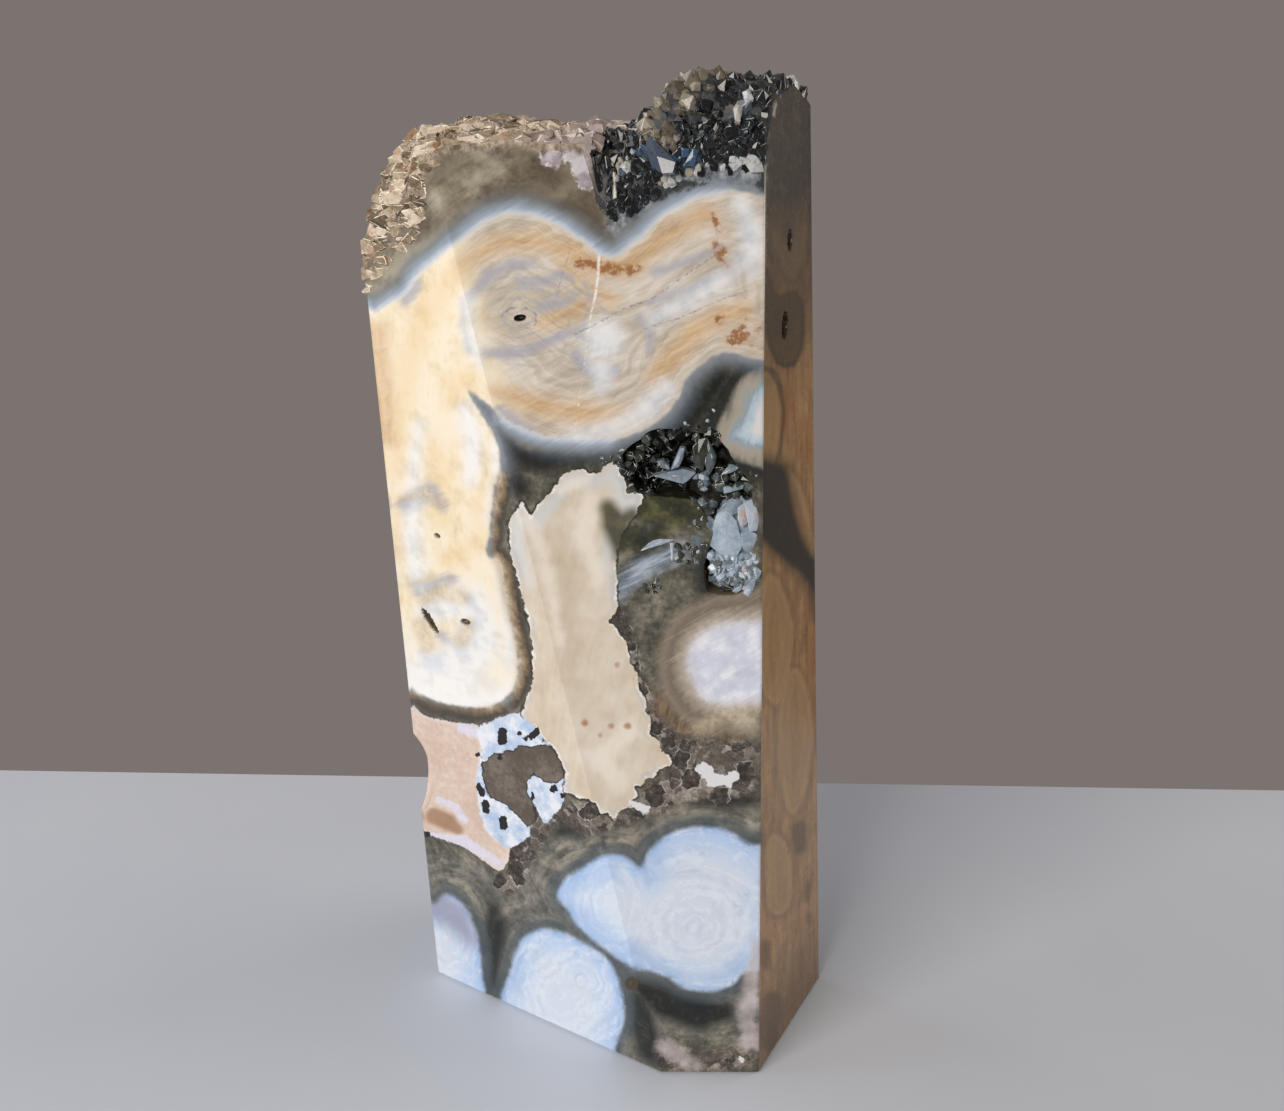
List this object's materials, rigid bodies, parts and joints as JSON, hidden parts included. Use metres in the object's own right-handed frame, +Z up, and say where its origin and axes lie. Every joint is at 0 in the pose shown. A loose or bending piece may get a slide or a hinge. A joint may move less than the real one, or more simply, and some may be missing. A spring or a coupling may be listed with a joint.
{
  "type": "polished ocean jasper freeform",
  "caption": "Standing polished jasper stone with flat facets, orb markings, a crystal-lined hollow and a rough natural top.",
  "frame": {"origin": "centre of the object's box, on the flat base that it stands on", "axes": "+Z up the height of the stone, -Y out of the broad polished front, +X towards the narrow right side wall"},
  "size_m": [0.0691, 0.0364, 0.1655],
  "materials": {
    "jasper": "polished stone, cream, grey-blue and olive orbs",
    "quartz_crystals": "bright broken quartz crystals"
  },
  "bodies": {
    "root": {"stone": "jasper", "crystal_crust": "quartz_crystals"}
  },
  "joints": []
}
